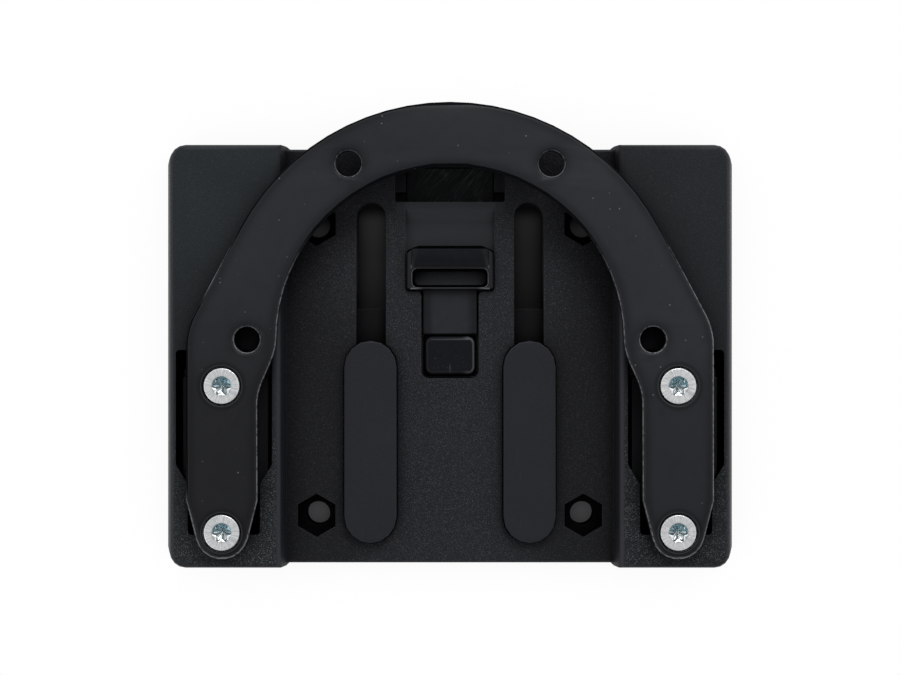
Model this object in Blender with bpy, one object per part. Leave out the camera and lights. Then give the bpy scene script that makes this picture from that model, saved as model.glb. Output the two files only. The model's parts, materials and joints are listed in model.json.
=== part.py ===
"""Tank bag mounting ring on its quick-release adapter plate.

The moulded plate lies on its back at z = 0, with its front face up. A steel U-shaped ring sits over it
on two moulded rails, whose flanges stand in keyhole pockets in the plate's side blocks. A sprung latch
inside the plate holds the flanges in the narrow end of the pockets. Drawing the latch by its strap eye
lets the ring slide towards its closed end until the flanges come free.

All sizes are in millimetres and become metres where a mesh is made. X runs across the plate, Y runs
towards the ring's closed end, Z runs from the bag to the tank.
"""

import math

import bmesh
import bpy
from mathutils import Matrix, Vector

MM = 0.001

# Clearances
fit = 0.3                  # between pieces that touch or slide on each other
loose = 0.5                # between pieces that pass each other
bite = 0.4                 # how far shapes of one piece run into each other before they are joined

# Degrees per facet of a rounded corner
corner_step = 24.0
coarse_step = 30.0
bend_step = 6.0            # for the ring's long bends

# Moulded walls and edges
wall = 3.0
housing_wall = 3.5         # wall below the slider's room
rib = 1.6
panel_skin = 2.5
block_skin = 3.0
block_edge = 1.2           # rounding of the block's top edge
plate_corner = 4.2         # plan radius of the plate's corners
side_draft = 3.7           # how far the sides slope out on their way to the back
end_draft = 0.8
panel_step = 0.4           # how far the panel's ends lie inside the ends of the blocks
panel_lip = 0.8            # rounding of the panel's ends
inner_fillet = 2.0         # rounding of a block's inner top edge
inner_lean = 0.7           # slope of a block's inner wall

# Heights, from the back to the ring
cover_thick = 2.0
bar_float = 0.05           # air under the lock bar, beyond the fit
bar_thick = 3.75
slider_flange = 2.3        # thickness of the slider's flange under the panel
block_rise = 7.5           # from the panel to the top of the blocks
ring_lift = 1.0            # air between the blocks and the ring
ring_thick = 4.0
cover_top = cover_thick
bar_low = cover_top + fit + bar_float
bar_high = bar_low + bar_thick
slider_low = bar_high + fit
slider_high = slider_low + slider_flange
panel_under = slider_high + fit
panel_height = panel_under + panel_skin
block_height = panel_height + block_rise
block_under = block_height - block_skin
ring_low = block_height + ring_lift
ring_high = ring_low + ring_thick
rebate = cover_top + fit
trough_high = bar_high + fit

# Across the plate
panel_half_x = 44.9        # inner wall of a side block
pocket_wall = 2.35         # from that wall to the pocket
pocket_wide = 12.75        # half width of a pocket's wide end
pocket_lip = 3.2           # how much narrower its narrow end is, each side
block_rim = 1.55           # from the pocket to the block's outer edge
pocket_fillet = 1.0
pocket_x = panel_half_x + pocket_wall + pocket_wide
pocket_narrow = pocket_wide - pocket_lip
block_half_x = pocket_x + pocket_wide + block_rim
inner_wall = panel_half_x - inner_lean

# Travel. The latch draws back past the ring's travel by the length of its hooks.
ring_travel = 4.6
hook_long = 2.1
latch_travel = ring_travel + hook_long + fit

# Along the plate, from the lock bar up to the closed end
pocket_top = 1.7
rail_top = pocket_top - ring_travel - fit
bar_front = rail_top + fit # the face that stands behind the rail's flange
bar_deep = 4.3
button_long = 10.35
button_past = 2.1          # how far the button stands out before the bar
neck_gap = 1.05
stem_long = 12.15          # from the button to the eye's channel
eye_up = 3.5               # from the channel's foot to the middle of the strap slot
head_long = 12.2
ramp_lead = 1.1            # how far the drawn eye reaches over the ramp
ramp_long = 5.4
band = 3.0                 # smooth strip between ramp and window
ramp_past = 2.4            # how far the ramp runs into that strip
window_long = 9.9
rib_back = 3.0             # from the window's foot to its side ribs
end_wall = 4.3
bar_back = bar_front + bar_deep
button_foot = bar_front - button_past
button_top = button_foot + button_long
neck_foot = button_foot - neck_gap
channel_foot = button_top + stem_long
eye_y = channel_foot + eye_up
head_top = channel_foot + head_long
ramp_start = head_top + latch_travel - ramp_lead
ramp_end = ramp_start + ramp_long
band_foot = ramp_end - ramp_past
window_foot = band_foot + band
window_rib_foot = window_foot + rib_back
window_top = window_foot + window_long
panel_end = window_top + end_wall
block_half_y = panel_end + panel_step

# Along the plate, from the legs' ends up to the lock bar
heel_wall = 3.2
boss_radius = 5.2
boss_air = 1.5             # from the lower boss to the end of its chamber
notch_step = 1.1           # how far the pocket runs past the lower screw
narrow_long = 13.4
slope_long = 5.3
upper_screw_in = 4.55
chamber_end = heel_wall - block_half_y
screw_lower = chamber_end + boss_air + boss_radius
screw_upper = rail_top - upper_screw_in
pocket_end = screw_lower - notch_step
pocket_neck = pocket_end + narrow_long
pocket_shoulder = pocket_neck + slope_long
trough_wall = 3.8
bar_air = 1.1              # air behind the drawn lock bar in the chambers
trough_air = 0.6           # and in the trough
chamber_top = bar_back + latch_travel + bar_air
trough_foot = bar_front - loose
trough_top = bar_back + latch_travel + trough_air
upper_hollow = chamber_top + 1.5 * wall

# Ring and its legs
ring_centre_y = 4.46
ring_inner = 45.7
ring_band = 16.8
bolt_inset = 7.7           # from the inner edge to the middle of the ring's holes
ring_edge = 0.8
ring_shoulder_angle = 28.0 # where the outer arc runs out into a straight shoulder, in degrees
ring_shoulder_fillet = 18.0
leg_margin = 1.8           # from the lower boss to the end of the leg
leg_throat = 16.5          # length of the curve from the inner arc to the straight leg
taper_long = 8.5
bolt_hole = 3.45
bolt_step = 60.0           # degrees between the ring's holes
neck_side = 1.2            # air between the rail's neck and the narrow pocket
rail_inset = 1.0           # how far the rail's neck stands inside the leg's outline
ring_outer = ring_inner + ring_band
bolt_circle = ring_inner + bolt_inset
leg_half = pocket_narrow - neck_side + rail_inset
leg_end = boss_radius + leg_margin
leg_taper = screw_lower + taper_long

# Rails under the legs
flange_thick = 3.3
flange_side = 1.35         # air between flange and wide pocket, each side
boss_float = 0.4           # air between a boss and what passes under it
tongue_long = 2.5          # step in the flange's end that the latch hooks over
tongue_thick = 1.5
step_over = 0.2            # how far the step runs into the neck above the flange
rail_edge = 0.4
flange_fillet = 0.8
slope_fillet = 1.0
flange_short = 1.1         # how far before the pocket's neck the flange ends
flange_high = block_under - fit
flange_low = flange_high - flange_thick
flange_half = pocket_wide - flange_side
rail_high = ring_low - fit
rail_low = bar_high + boss_float

# Countersunk screws and their inserts
screw_head = 4.7
screw_shank = 2.5
screw_long = 16.0
head_side_air = 0.4        # air round a head in the ring
shank_side_air = 0.35
head_under_air = 0.12
head_edge_cut = 0.2        # chamfer of the head's top
screw_point = 0.8          # chamfer of the shank's end
head_rim = 0.55            # height of the head's straight edge
head_sunk = 0.15
recess_mid = 2.2           # six-lobe recess, mean radius and lobe height
recess_lobe = 0.28
recess_deep = 2.3
recess_mouth = 2.65
mouth_deep = 0.5
mouth_slope = 0.2          # how far inside the lobes' mean the mouth's cone ends
recess_floor = 1.7         # radius of the cone at the recess's bottom
recess_cone = 0.9          # its depth
insert_radius = 3.5
insert_long = 9.6
insert_sunk = 1.1
insert_groove = 0.4
groove_slope = 0.2
insert_low = rail_high - insert_sunk - insert_long

# Latch, strap eye and button
window_half = 14.8
channel_side = 2.8         # how much narrower than the window the channel is, each side
channel_deep = 2.0
channel_skin = 1.9
channel_corner = 0.8
neck_step = 4.25           # how much narrower than the channel the neck is, each side
neck_corner = 2.0
neck_shoulder = 1.3
window_corner = 0.6
head_side = 0.25           # air between the eye and the channel, each side
head_proud = 1.4           # how far the eye stands above the panel
head_thick = 2.3
head_edge = 0.5
head_corner_x = 3.1        # slant of the eye's upper corners
head_corner_y = 1.3
head_round_top = 2.0
head_round_side = 1.2
head_round_foot = 0.6
skid_in = 0.2              # how far inside the eye's side its skid stands
skid_short = 3.0           # and how far before its upper edge it ends
eye_side = 2.2             # bar beside the strap slot
eye_high = 3.7
eye_round = 1.3
eye_rim = 0.65             # width of the sunk rim round the slot
eye_rim_deep = 0.5
scoop_deep = 0.6
scoop_radius = 9.0
scoop_side = 1.3
button_side = 1.0          # air between the button and the neck, each side
button_sunk = 0.2
button_corner = 2.0
button_edge = 1.0
stem_sunk = 0.5
stem_thick = 1.3
stem_side = 0.4            # air between the stem and the neck, each side
stem_corner = 0.6
stem_edge = 0.3
web_sunk = 0.2             # how far the web runs into the flange from above
wing_corner = 1.0
slider_air = 1.2           # air before the slider's flange
slider_wing = 2.8          # how far the slider's flange reaches past the button
nose_side = 0.75           # air between a nose and the wall of its chamber
nose_short = 4.0           # from a nose's outer face to the middle of the pocket
spring_side = 2.3          # from the window's side to the spring's axis
spring_radius = 1.65
spring_wire = 0.25
spring_turns = 7
spring_wall = 2.0
spring_land = 2.4          # from the spring's axis to the side of its wall
spring_lift = 0.05
peg_radius = 1.0
peg_long = 2.2
channel_half = window_half - channel_side
channel_floor = panel_height - channel_deep
under_channel = channel_floor - channel_skin
neck_half = channel_half - neck_step
head_half = channel_half - head_side
head_height = panel_height + head_proud
eye_half = head_half - eye_side
button_half = neck_half - button_side
button_height = panel_height - button_sunk
stem_height = panel_height - stem_sunk
hollow_foot = button_foot - slider_wing - slider_air
nose_inner = pocket_x - pocket_wide + nose_side
bar_reach = pocket_x - nose_short
hook_reach = pocket_x - boss_radius - loose
spring_x = window_half - spring_side
spring_y0 = bar_back + fit
spring_seat = channel_foot + fit
spring_z = (bar_low + bar_high) / 2 + spring_lift

# Other openings of the panel
window_rib = 2.75
window_rib_low = 1.0       # from the panel's underside down to the top of the side ribs
band_sunk = 0.2
slot_gap = 2.5             # wall between the latch housing and a long slot
slot_half = 4.0
slot_past = 0.1            # how far the slots run past the window's foot
slot_under_pad = 5.1
slot_wall = 2.0
nut_side = 8.9             # from a nut's middle to the block
nut_upper_in = 20.6        # from the ends of the blocks to the nuts
nut_lower_in = 13.2
nut_flats = 10.2
nut_deep = 6.5
nut_hole = 3.2
nut_boss = 8.6
slot_x = window_half + slot_gap + slot_half
slot_top = window_foot + slot_past
nut_x = panel_half_x - nut_side
nut_upper = block_half_y - nut_upper_in
nut_lower = nut_lower_in - block_half_y

# Pads
pad_aside = 0.1            # how far outside the slot's middle a pad lies
pad_half = 7.0
pad_top = 4.1
pad_end = 6.0              # from a pad to the lower end of the blocks
pad_thick = 2.7
pad_sunk = 0.5
pad_edge = 0.3
pad_x = slot_x + pad_aside
pad_foot = pad_end - block_half_y
slot_foot = pad_top - slot_under_pad

# Back cover and its small countersunk screws
cover_seat = 1.25          # how far the cover lies on the walls round each hollow
cover_corner = 2.0
platform_rise = 3.5
cover_head = 2.8
cover_shank = 1.3
cover_screw_long = 7.2
cover_hole_past = 1.3      # how much deeper the holes are than the screws
cover_head_rim = 0.3
cover_recess = 1.4
cover_recess_deep = 1.1
cover_point = 0.7
platform_corner = 1.0
cover_head_sunk = 0.15
cover_boss = 2.7
boss_in = 3.1              # from a chamber's walls to the middle of a screw boss
strip_screw_in = 3.6       # from the housing's side to its screws
strip_screw_up = 1.3       # from the eye's upper edge to them


# Drawing in the plane

def arc(centre, radius, start, stop, steps):
    """Points on a circle from one angle to another, both in degrees."""
    points = []
    for i in range(steps + 1):
        angle = math.radians(start + (stop - start) * i / steps)
        points.append((centre[0] + radius * math.cos(angle), centre[1] + radius * math.sin(angle)))
    return points


def circle(x, y, radius, steps=20):
    return arc((x, y), radius, 0.0, 360.0, steps)[:-1]


def rounded(corners, step=corner_step):
    """A polygon from corners (x, y, radius), each with a fillet of its own radius."""
    points = []
    for i, (x, y, radius) in enumerate(corners):
        here = Vector((x, y))
        if radius <= 0.0:
            points.append((x, y))
            continue
        before = (Vector(corners[i - 1][:2]) - here).normalized()
        after = (Vector(corners[(i + 1) % len(corners)][:2]) - here).normalized()
        half = before.angle(after) / 2
        centre = here + (before + after).normalized() * radius / math.sin(half)
        foot_in = here + before * radius / math.tan(half) - centre
        foot_out = here + after * radius / math.tan(half) - centre
        turn = foot_out.angle_signed(foot_in)
        steps = max(2, math.ceil(abs(math.degrees(turn)) / step))
        start = math.atan2(foot_in.y, foot_in.x)
        for k in range(steps + 1):
            angle = start + turn * k / steps
            points.append((centre.x + radius * math.cos(angle), centre.y + radius * math.sin(angle)))
    return points


def rectangle(x0, x1, y0, y1, radius=0.0):
    return rounded([(x0, y0, radius), (x1, y0, radius), (x1, y1, radius), (x0, y1, radius)])


def stadium(x, half, y0, y1, steps=8):
    """An upright slot outline with round ends."""
    lower = arc((x, y0 + half), half, 180.0, 360.0, steps)
    upper = arc((x, y1 - half), half, 0.0, 180.0, steps)
    return lower + upper


def mirrored(right_half):
    """A closed outline from its right half, given from the top centre to the bottom centre or gap."""
    return right_half + [(-x, y) for x, y in reversed(right_half)]


# Building solids

def mesh_object(name, bm):
    """Close up a bmesh, turn its faces out and put it into the scene."""
    bmesh.ops.remove_doubles(bm, verts=bm.verts, dist=0.00001 * MM)
    bmesh.ops.recalc_face_normals(bm, faces=bm.faces)
    mesh = bpy.data.meshes.new(name)
    bm.to_mesh(mesh)
    bm.free()
    obj = bpy.data.objects.new(name, mesh)
    bpy.context.collection.objects.link(obj)
    return obj


def plate(name, loops, low, high, edge=0.0, edge_steps=0):
    """A flat plate between two heights: the first loop is its outline and the rest are its holes.

    It is a filled curve with an extrusion, whose bevel rounds every rim without moving it out."""
    curve = bpy.data.curves.new(name, "CURVE")
    curve.dimensions = "2D"
    curve.fill_mode = "BOTH"
    for number, loop in enumerate(loops):
        area = sum(loop[i - 1][0] * loop[i][1] - loop[i][0] * loop[i - 1][1] for i in range(len(loop)))
        wanted = 1.0 if number == 0 else -1.0
        points = loop if area * wanted > 0.0 else list(reversed(loop))
        spline = curve.splines.new("POLY")
        spline.points.add(len(points) - 1)
        for point, (x, y) in zip(spline.points, points):
            point.co = (x * MM, y * MM, 0.0, 1.0)
        spline.use_cyclic_u = True
    curve.extrude = ((high - low) / 2 - edge) * MM
    curve.bevel_depth = edge * MM
    curve.bevel_resolution = edge_steps
    curve.offset = -edge * MM
    source = bpy.data.objects.new(name + "_curve", curve)
    bpy.context.collection.objects.link(source)
    bpy.context.view_layer.update()
    flat = bpy.data.meshes.new_from_object(source.evaluated_get(bpy.context.evaluated_depsgraph_get()))
    bpy.data.objects.remove(source)
    bm = bmesh.new()
    bm.from_mesh(flat)
    bpy.data.meshes.remove(flat)
    bmesh.ops.remove_doubles(bm, verts=bm.verts, dist=0.0005 * MM)
    bmesh.ops.translate(bm, verts=bm.verts, vec=(0.0, 0.0, (low + high) / 2 * MM))
    return mesh_object(name, bm)


def box(name, x0, x1, y0, y1, z0, z1):
    bm = bmesh.new()
    bmesh.ops.create_cube(bm, size=1.0)
    bmesh.ops.scale(bm, verts=bm.verts, vec=((x1 - x0) * MM, (y1 - y0) * MM, (z1 - z0) * MM))
    middle = ((x0 + x1) / 2 * MM, (y0 + y1) / 2 * MM, (z0 + z1) / 2 * MM)
    bmesh.ops.translate(bm, verts=bm.verts, vec=middle)
    return mesh_object(name, bm)


def bar_along_y(name, profile, y0, y1):
    """An (x, z) profile carried along Y."""
    obj = plate(name, [profile], -y1, -y0)
    obj.data.transform(Matrix.Rotation(math.radians(90.0), 4, "X"))
    return obj


def bar_along_x(name, profile, x0, x1):
    """A (y, z) profile carried along X."""
    obj = plate(name, [profile], x0, x1)
    obj.data.transform(Matrix(((0, 0, 1, 0), (1, 0, 0, 0), (0, 1, 0, 0), (0, 0, 0, 1))))
    return obj


def turned(name, profile, steps=24):
    """A (radius, z) profile spun round the Z axis. It is closed, or begins and ends on the axis."""
    bm = bmesh.new()
    verts = [bm.verts.new((radius * MM, 0.0, z * MM)) for radius, z in profile]
    edges = []
    for i in range(len(profile)):
        if profile[i - 1][0] > 0.0 or profile[i][0] > 0.0:
            edges.append(bm.edges.new((verts[i - 1], verts[i])))
    bmesh.ops.spin(bm, geom=verts + edges, axis=(0, 0, 1), cent=(0, 0, 0), dvec=(0, 0, 0),
                   angle=math.tau, steps=steps, use_merge=True, use_duplicate=False)
    return mesh_object(name, bm)


def combine(obj, tool, operation):
    """Cut, join or intersect one solid with another, and use the other up."""
    modifier = obj.modifiers.new(operation.lower(), "BOOLEAN")
    modifier.operation = operation
    modifier.solver = "EXACT"
    modifier.object = tool
    bpy.context.view_layer.update()
    result = bpy.data.meshes.new_from_object(obj.evaluated_get(bpy.context.evaluated_depsgraph_get()))
    obj.modifiers.clear()
    obj.data = result
    bpy.data.objects.remove(tool)
    return obj


def cut(obj, tool):
    return combine(obj, tool, "DIFFERENCE")


def join(obj, tool):
    return combine(obj, tool, "UNION")


def group(tools):
    """Several tools that stand clear of each other, as one."""
    bm = bmesh.new()
    for tool in tools:
        bm.from_mesh(tool.data)
        bpy.data.objects.remove(tool)
    return mesh_object("group", bm)


def moved(obj, x=0.0, y=0.0, z=0.0):
    obj.data.transform(Matrix.Translation((x * MM, y * MM, z * MM)))
    return obj


def finish(name, colour, roughness, metallic=0.0):
    material = bpy.data.materials.new(name)
    material.use_nodes = True
    shader = material.node_tree.nodes["Principled BSDF"]
    shader.inputs["Base Color"].default_value = (*colour, 1.0)
    shader.inputs["Roughness"].default_value = roughness
    shader.inputs["Metallic"].default_value = metallic
    return material


def place(obj, name, material, origin=(0.0, 0.0, 0.0), carrier=None, smooth=True):
    """Name a piece, give it its finish and set its origin, which its mesh already stands round."""
    obj.name = name
    obj.data.name = name
    obj.data.materials.clear()
    obj.data.materials.append(material)
    if smooth:
        obj.data.shade_smooth()
        obj.data.set_sharp_from_angle(angle=math.radians(32.0))
    home = Vector(origin) * MM
    if carrier:
        obj.parent = carrier
        home -= carrier.location
    obj.location = home
    return obj


def settle(obj, origin):
    """Shift a mesh that was drawn in place, so that it stands round its origin."""
    return moved(obj, -origin[0], -origin[1], -origin[2])


def copy_of(obj):
    twin = bpy.data.objects.new(obj.name, obj.data)
    bpy.context.collection.objects.link(twin)
    return twin


# Adapter plate

def plate_body():
    """The drafted block with the sunk panel between its two raised sides."""
    outline = rectangle(-block_half_x, block_half_x, -block_half_y, block_half_y, plate_corner)
    body = plate("base", [outline], -2 * block_edge, block_height, block_edge, 1)
    for vert in body.data.vertices:
        depth = 1.0 - vert.co.z / (block_height * MM)
        vert.co.x *= 1.0 + side_draft / block_half_x * depth
        vert.co.y *= 1.0 + end_draft / block_half_y * depth
    reach_x = block_half_x + 2 * side_draft
    reach_y = block_half_y + 2 * side_draft
    cut(body, box("back", -reach_x, reach_x, -reach_y, reach_y, -9 * block_edge, 0.0))
    shelf = arc((panel_half_x + inner_fillet, block_height - inner_fillet), inner_fillet, 180.0, 90.0, 5)
    side = [(inner_wall, panel_height)] + shelf + [(panel_half_x + inner_fillet, block_height + wall)]
    cut(body, bar_along_y("between", mirrored(list(reversed(side))), -reach_y, reach_y))
    for sign in (-1, 1):
        end = arc((panel_end - panel_lip, panel_height - panel_lip), panel_lip, 0.0, 90.0, 3)
        profile = [(reach_y, -wall), (panel_end, -wall)] + end
        profile += [(panel_end - panel_lip, block_height), (reach_y, block_height)]
        profile = [(sign * y, z) for y, z in profile]
        cut(body, bar_along_x("step", profile, -inner_wall, inner_wall))
    return body


def hollow_out(body):
    """The hollows behind the panel and the blocks, which are open at the back."""
    end = panel_end - wall
    cut(body, box("panel_back", -inner_wall, inner_wall, -end, end, -wall, panel_under))
    for sign in (-1, 1):
        inner = sign * (pocket_x - pocket_wide)
        outer = sign * (pocket_x + pocket_wide)
        left, right = min(inner, outer), max(inner, outer)
        cut(body, box("chamber", left, right, chamber_end, chamber_top, -wall, block_under))
        cut(body, box("hollow", left, right, upper_hollow, block_half_y - wall, -wall, block_under))
    return body


def add_ribs(body):
    """Walls, ribs and bosses that stand behind the panel and in the blocks."""
    roof = panel_under + bite
    housing_half = slot_x - slot_half + bite
    join(body, box("housing", -housing_half, housing_half, hollow_foot - housing_wall,
                   panel_end - wall + bite, 0.0, roof))
    join(body, box("trough", -inner_wall - bite, inner_wall + bite, trough_foot - trough_wall,
                   trough_top + trough_wall, 0.0, roof))
    slot_low = trough_top + bite
    for sign in (-1, 1):
        skirt = stadium(sign * slot_x, slot_half + slot_wall, slot_low - slot_half, slot_top + slot_wall)
        join(body, plate("skirt", [skirt], 0.0, roof))
        for y in (nut_upper, nut_lower):
            join(body, plate("nut_boss", [circle(sign * nut_x, y, nut_boss)], 0.0, roof))
            edge_in = slot_x + slot_half + slot_wall / 2 if y > 0 else 0.0
            left, right = sorted((sign * edge_in, sign * (inner_wall + bite)))
            join(body, box("cross_rib", left, right, y - rib / 2, y + rib / 2, rib, roof))
            reach = math.copysign(panel_end - wall + bite, y)
            root = trough_top + wall if y > 0 else trough_foot - wall
            low, high = sorted((root, reach))
            join(body, box("long_rib", sign * nut_x - rib / 2, sign * nut_x + rib / 2, low, high, rib, roof))
        span = block_half_y - wall - chamber_top
        for share in (1, 2):
            y = chamber_top + 0.75 * wall + span * share / 3
            reach = pocket_wide + bite
            left, right = sorted((sign * (pocket_x - reach), sign * (pocket_x + reach)))
            join(body, box("block_rib", left, right, y - rib / 2, y + rib / 2, rib, block_under + bite))
    return body


def cover_outline(grow):
    """Outline of the back cover. It closes the latch housing, the trough and both pocket chambers."""
    strip = window_half + cover_seat / 2 + grow
    inner = pocket_x - pocket_wide - cover_seat - grow
    outer = pocket_x + pocket_wide + cover_seat + grow
    top = window_top + cover_seat + grow
    shelf = chamber_top + cover_seat + grow
    foot = trough_foot - cover_seat - grow
    tail = hollow_foot - cover_seat - grow
    bottom = chamber_end - cover_seat - grow
    round_out = cover_corner + grow
    round_in = cover_corner - grow
    return rounded([
        (strip, top, round_out), (strip, shelf, round_in), (outer, shelf, round_out),
        (outer, bottom, round_out), (inner, bottom, round_out), (inner, foot, round_in),
        (strip, foot, round_in), (strip, tail, round_out),
        (-strip, tail, round_out), (-strip, foot, round_in), (-inner, foot, round_in),
        (-inner, bottom, round_out), (-outer, bottom, round_out), (-outer, shelf, round_out),
        (-strip, shelf, round_in), (-strip, top, round_out)], coarse_step)


def cut_latch_housing(body):
    """The long hollow for the slider, the trough for the lock bar and the seats of the springs."""
    cut(body, box("slide_room", -window_half, window_half, hollow_foot, channel_foot, -wall, panel_under))
    cut(body, box("strap_room", -window_half, window_half, channel_foot - bite, window_foot, -wall,
                  under_channel))
    cut(body, box("window_room", -window_half, window_half, window_foot - bite, window_top, -wall,
                  panel_under))
    reach = pocket_x - pocket_wide + bite
    cut(body, box("trough_room", -reach, reach, trough_foot, trough_top, -wall, trough_high))
    for sign in (-1, 1):
        left, right = sorted((sign * (spring_x - spring_land), sign * (window_half + bite)))
        join(body, box("spring_wall", left, right, spring_seat, spring_seat + spring_wall, rebate + fit,
                       under_channel + bite))
        join(body, spring_peg(sign, spring_seat - peg_long, spring_seat + bite))
        left, right = sorted((sign * (window_half - window_rib), sign * (window_half + bite)))
        join(body, box("window_rib", left, right, window_rib_foot, window_top + bite, rebate + fit,
                       panel_under - window_rib_low))
    return body


def spring_peg(sign, y0, y1):
    return bar_along_y("peg", circle(sign * spring_x, spring_z, peg_radius, 12), y0, y1)


def ramp_profile(top):
    """The channel's floor in (y, z): flat under the eye, then a smooth rise to the band."""
    profile = [(ramp_start, channel_floor - wall)]
    for i in range(7):
        t = i / 6
        rise = (3 - 2 * t) * t * t
        y = ramp_start + (ramp_end - ramp_start) * t
        profile.append((y, channel_floor + (panel_height - band_sunk - channel_floor) * rise))
    return profile + [(top, panel_height - band_sunk), (top, channel_floor - wall)]


def cut_panel(body):
    """The channel with its ramp, the neck round the button, the window, the slots and the nut pockets."""
    above = panel_height + wall
    channel = plate("channel", [rounded([
        (-channel_half, channel_foot, channel_corner), (channel_half, channel_foot, channel_corner),
        (channel_half, ramp_end, 0.0), (-channel_half, ramp_end, 0.0)])], channel_floor, above)
    cut(channel, bar_along_x("ramp", ramp_profile(ramp_end + wall), -window_half, window_half))
    cut(body, channel)
    flare = neck_half + neck_shoulder
    neck = rounded([
        (neck_half, neck_foot, neck_corner), (neck_half, channel_foot, neck_shoulder),
        (flare, channel_foot, 0.0), (flare, channel_foot + bite, 0.0),
        (-flare, channel_foot + bite, 0.0), (-flare, channel_foot, 0.0),
        (-neck_half, channel_foot, neck_shoulder), (-neck_half, neck_foot, neck_corner)])
    cut(body, plate("neck", [neck], channel_floor, above))
    through = rounded([(-neck_half, neck_foot, neck_corner), (neck_half, neck_foot, neck_corner),
                       (neck_half, channel_foot, 0.0), (-neck_half, channel_foot, 0.0)])
    cut(body, plate("neck_through", [through], panel_under - wall, above))
    cut(body, box("band", -window_half, window_half, band_foot, window_foot + bite,
                  panel_height - band_sunk, above))
    cut(body, plate("window", [rectangle(-window_half, window_half, window_foot, window_top, window_corner)],
                    panel_under - wall, above))
    for sign in (-1, 1):
        whole = stadium(sign * slot_x, slot_half, slot_foot, slot_top)
        cut(body, plate("slot_mouth", [whole], trough_high + rib, above))
        deep = rectangle(sign * slot_x - slot_half, sign * slot_x + slot_half,
                         trough_top + trough_wall, slot_top - slot_half, 0.0)
        deep = deep[:2] + arc((sign * slot_x, slot_top - slot_half), slot_half, 0.0, 180.0, 8)
        cut(body, plate("slot_deep", [deep], -wall, above))
        for y in (nut_upper, nut_lower):
            hexagon = arc((sign * nut_x, y), nut_flats / math.sqrt(3), 30.0, 330.0, 5)
            cut(body, plate("nut_pocket", [hexagon], panel_height - nut_deep, above))
            cut(body, plate("nut_hole", [circle(sign * nut_x, y, nut_hole)], -wall, above))
        seat = stadium(sign * pad_x, pad_half + fit, pad_foot - fit, pad_top + fit)
        cut(body, plate("pad_seat", [seat], panel_height - pad_sunk, above))
    return body


def keyhole(sign):
    """Outline of a pocket's mouth: wide end, sloped shoulders and narrow end."""
    turn = pocket_fillet
    half = rounded([
        (0.0, pocket_top, 0.0), (pocket_wide, pocket_top, turn), (pocket_wide, pocket_shoulder, turn),
        (pocket_narrow, pocket_neck, turn), (pocket_narrow, pocket_end, turn), (0.0, pocket_end, 0.0)],
        coarse_step)
    return [(sign * pocket_x + x, y) for x, y in mirrored(half[1:-1])]


def cut_pockets(body):
    """The keyhole mouths, each with a round notch for the rail's lower boss."""
    for sign in (-1, 1):
        cut(body, plate("keyhole", [keyhole(sign)], block_under - bite, block_height + wall))
        notch = circle(sign * pocket_x, screw_lower, boss_radius + loose)
        cut(body, plate("notch", [notch], block_under - bite, block_height + wall))
    return body


def cover_screw_places():
    edge = pocket_x + pocket_wide - boss_in
    heel = pocket_x - pocket_wide + boss_in
    strip = window_half - strip_screw_in
    places = []
    for sign in (-1, 1):
        places += [(sign * edge, chamber_end + boss_in), (sign * edge, chamber_top - boss_in),
                   (sign * heel, chamber_end + boss_in), (sign * strip, head_top + strip_screw_up)]
    return places


def add_cover_seat(body):
    """Screw bosses, and the rebate that the back cover lies in."""
    for x, y in cover_screw_places():
        top = block_under + bite if abs(x) > panel_half_x else under_channel + bite
        join(body, plate("screw_boss", [circle(x, y, cover_boss, 12)], rebate - bite, top))
    cut(body, plate("rebate", [cover_outline(fit)], -wall, rebate))
    for x, y in cover_screw_places():
        depth = cover_screw_long + cover_hole_past
        hole = circle(x, y, cover_shank + fit, 8)
        cut(body, plate("screw_hole", [hole], -wall, min(depth, under_channel + 0.2 * channel_skin)))
    return body


def base_shell():
    body = plate_body()
    hollow_out(body)
    add_ribs(body)
    cut_latch_housing(body)
    cut_panel(body)
    cut_pockets(body)
    return add_cover_seat(body)


def back_cover():
    """The flat cover with the raised floor that shows through the window."""
    cover = plate("cover", [cover_outline(0.0)], 0.0, cover_top)
    half = window_half - window_rib - fit
    floor = rectangle(-half, half, window_foot + fit, window_top - fit, platform_corner)
    join(cover, plate("platform", [floor], cover_top - bite, cover_top + platform_rise))
    sinks = []
    depth = cover_head_sunk + fit
    cone = cover_head + depth - cover_shank
    for x, y in cover_screw_places():
        sink = turned("sink", [(0.0, -wall), (cover_head + fit, -wall), (cover_head + fit, depth),
                               (cover_shank + fit, cone), (cover_shank + fit, cover_top + wall),
                               (0.0, cover_top + wall)], 12)
        sinks.append(moved(sink, x, y))
    return cut(cover, group(sinks))


def cover_screw():
    """A small countersunk screw, head down, seen from the back of the plate."""
    low = cover_head_sunk
    rim = low + cover_head_rim
    tip = low + cover_screw_long
    recess = plate("recess", [arc((0.0, 0.0), cover_recess, 0.0, 300.0, 5)], -wall, low + cover_recess_deep)
    screw = turned("screw", [(0.0, low), (cover_head, low), (cover_head, rim),
                             (cover_shank, rim + cover_head - cover_shank), (cover_shank, tip - cover_point),
                             (0.0, tip)], 10)
    return cut(screw, recess)


def pad():
    outline = stadium(0.0, pad_half, pad_foot, pad_top)
    low = panel_height - pad_sunk + fit
    return plate("pad", [outline], low, low + pad_thick, pad_edge)


# Ring carriage

def tangent_angle(point, centre, radius):
    """Angle on a circle where the line from a point at its upper right touches its right side."""
    away = Vector(point) - Vector(centre)
    return math.degrees(math.atan2(away.y, away.x) - math.acos(radius / away.length))


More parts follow.
